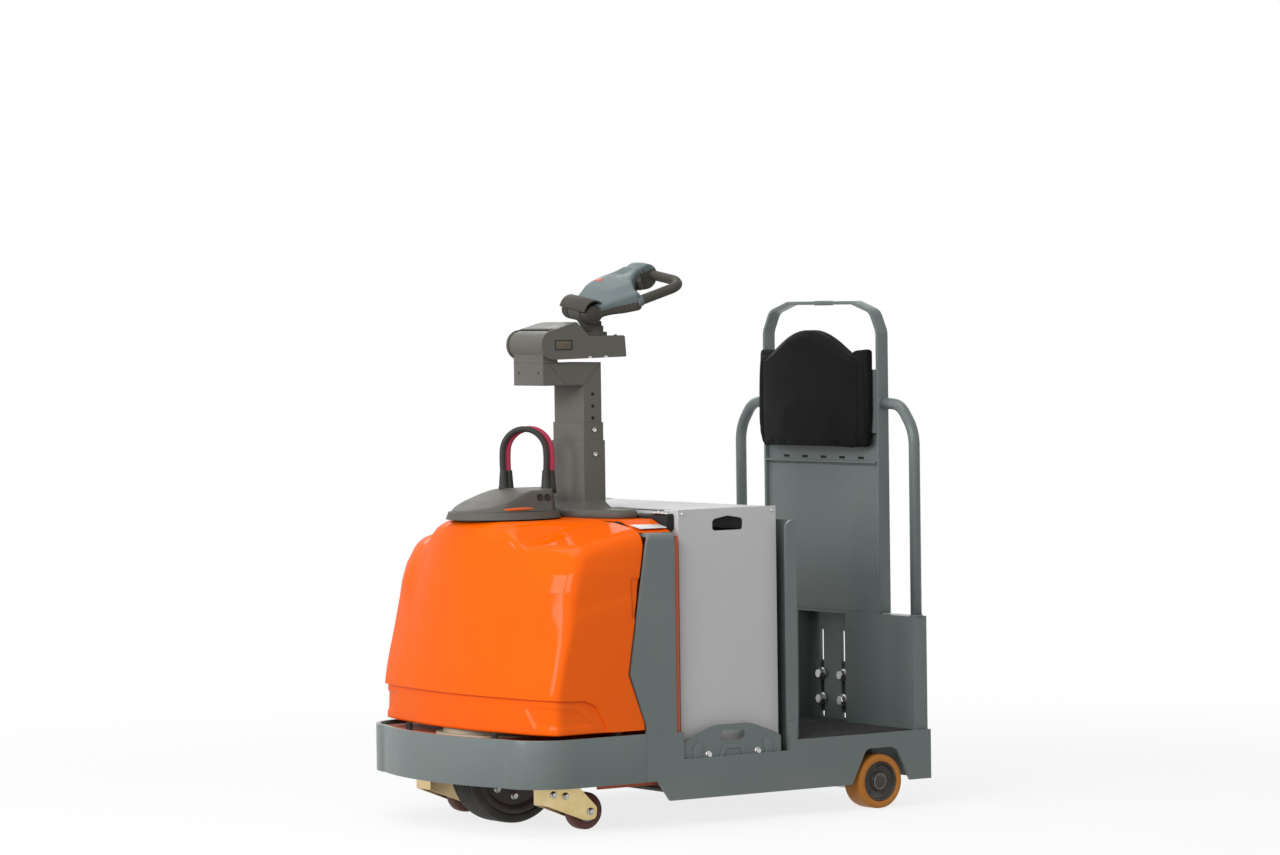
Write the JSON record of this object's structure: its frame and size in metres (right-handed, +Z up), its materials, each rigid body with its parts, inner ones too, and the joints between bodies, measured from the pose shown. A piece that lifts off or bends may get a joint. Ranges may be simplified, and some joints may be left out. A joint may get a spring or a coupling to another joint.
{
  "type": "airport tow tractor",
  "caption": "Battery tow tractor with an orange hood, a tiller on a telescopic column and a stand-on rear platform with backrest.",
  "frame": {"origin": "on the floor under the middle of the whole vehicle", "axes": "+X forward, +Y to the rider's left, +Z up"},
  "size_m": [1.4959, 0.874, 1.543],
  "materials": {
    "steel_grey": "satin",
    "hood_orange": "gloss",
    "deck_orange": "satin",
    "battery_grey": "satin",
    "cell_block": "matte",
    "column_grey": "satin",
    "cover_grey": "matte",
    "handle_shell": "semi-gloss",
    "grip_black": "matte",
    "pad_black": "matte",
    "mat_black": "matte",
    "cable_black": "satin",
    "cable_red": "satin",
    "tyre_poly": "semi-gloss",
    "hub_black": "satin",
    "axle_steel": "satin",
    "drive_black": "satin",
    "rim_black": "satin",
    "unit_beige": "satin",
    "caster_zinc": "satin",
    "caster_red": "satin",
    "bolt_zinc": "semi-gloss"
  },
  "bodies": {
    "chassis": {"side_rails": "steel_grey", "front_pillars": "steel_grey", "front_bumper": "steel_grey", "battery_tray": "steel_grey", "front_bulkhead": "deck_orange", "rear_bulkhead": "steel_grey", "platform_floor": "steel_grey", "platform_mat": "mat_black", "rear_plate": "steel_grey", "rear_box": "steel_grey", "front_deck": "deck_orange", "slew_ring": "unit_beige", "caster_heads": "deck_orange", "rear_axle": "axle_steel", "axle_brackets": "steel_grey", "hood": "hood_orange", "cowl": "hood_orange", "column_foot": "cover_grey", "pod_tray": "cover_grey", "pod_dome": "cover_grey", "cable_black": "cable_black", "cable_red": "cable_red", "hood_buffers": "mat_black", "battery_case": "battery_grey", "battery_cells": "cell_block", "battery_lid": "battery_grey", "battery_gates": "steel_grey", "column_outer": "column_grey", "column_collar": "column_grey", "column_inner": "column_grey", "arm_bracket": "column_grey", "backrest_frame": "steel_grey", "backrest_panel": "steel_grey", "backrest_pad": "pad_black", "pad_plate": "steel_grey", "handrails": "steel_grey", "hitch_body": "steel_grey", "hitch_bolts": "bolt_zinc"},
    "arm": {"steer_arm": "column_grey"},
    "yoke": {"handle_yoke": "cover_grey"},
    "handle": {"handle_head": "handle_shell", "grip_loop": "grip_black", "thumb_control": "grip_black"},
    "drive": {"drive_unit": "unit_beige"},
    "drive_wheel": {"drive_tyre": "drive_black", "drive_rim": "rim_black"},
    "caster_left": {"caster_fork_left": "caster_zinc"},
    "caster_right": {"caster_fork_right": "caster_zinc"},
    "caster_roller_left": {"caster_wheel_left": "caster_red"},
    "caster_roller_right": {"caster_wheel_right": "caster_red"},
    "rear_wheel_left": {"rear_tyre_left": "tyre_poly", "rear_hub_left": "hub_black"},
    "rear_wheel_right": {"rear_tyre_right": "tyre_poly", "rear_hub_right": "hub_black"},
    "coupling_pin": {"hitch_pin": "bolt_zinc"}
  },
  "joints": [
    {"name": "arm_tilt", "type": "hinge", "parent": "chassis", "child": "arm", "pos_m": [0.373, 0, 1.309], "axis": [0, 1, 0], "range_deg": [0, 25]},
    {"name": "handle_steer", "type": "hinge", "parent": "arm", "child": "yoke", "pos_m": [0.176, 0, 1.332], "axis": [0, 0, 1], "range_deg": [-60, 60]},
    {"name": "handle_tilt", "type": "hinge", "parent": "yoke", "child": "handle", "pos_m": [0.218, 0, 1.402], "axis": [-0.0537, 0.9848, -0.1651], "range_deg": [-12, 45]},
    {"name": "drive_steer", "type": "hinge", "parent": "chassis", "child": "drive", "pos_m": [0.493, 0, 0.248], "axis": [0, 0, 1], "range_deg": [-90, 90]},
    {"name": "drive_wheel_spin", "type": "hinge", "parent": "drive", "child": "drive_wheel", "pos_m": [0.493, 0, 0.1524], "axis": [0, 1, 0], "continuous": true},
    {"name": "caster_swivel_left", "type": "hinge", "parent": "chassis", "child": "caster_left", "pos_m": [0.508, 0.294, 0.126], "axis": [0, 0, 1], "continuous": true},
    {"name": "caster_swivel_right", "type": "hinge", "parent": "chassis", "child": "caster_right", "pos_m": [0.508, -0.294, 0.126], "axis": [0, 0, 1], "continuous": true},
    {"name": "caster_spin_left", "type": "hinge", "parent": "caster_left", "child": "caster_roller_left", "pos_m": [0.439, 0.294, 0.051], "axis": [0, 1, 0], "continuous": true},
    {"name": "caster_spin_right", "type": "hinge", "parent": "caster_right", "child": "caster_roller_right", "pos_m": [0.439, -0.294, 0.051], "axis": [0, 1, 0], "continuous": true},
    {"name": "rear_wheel_spin_left", "type": "hinge", "parent": "chassis", "child": "rear_wheel_left", "pos_m": [-0.475, 0.3965, 0.0762], "axis": [0, 1, 0], "continuous": true},
    {"name": "rear_wheel_spin_right", "type": "hinge", "parent": "chassis", "child": "rear_wheel_right", "pos_m": [-0.475, -0.3965, 0.0762], "axis": [0, 1, 0], "continuous": true},
    {"name": "coupling_pin_lift", "type": "slide", "parent": "chassis", "child": "coupling_pin", "axis": [0, 0, 1], "range_m": [0, 0.12]}
  ]
}
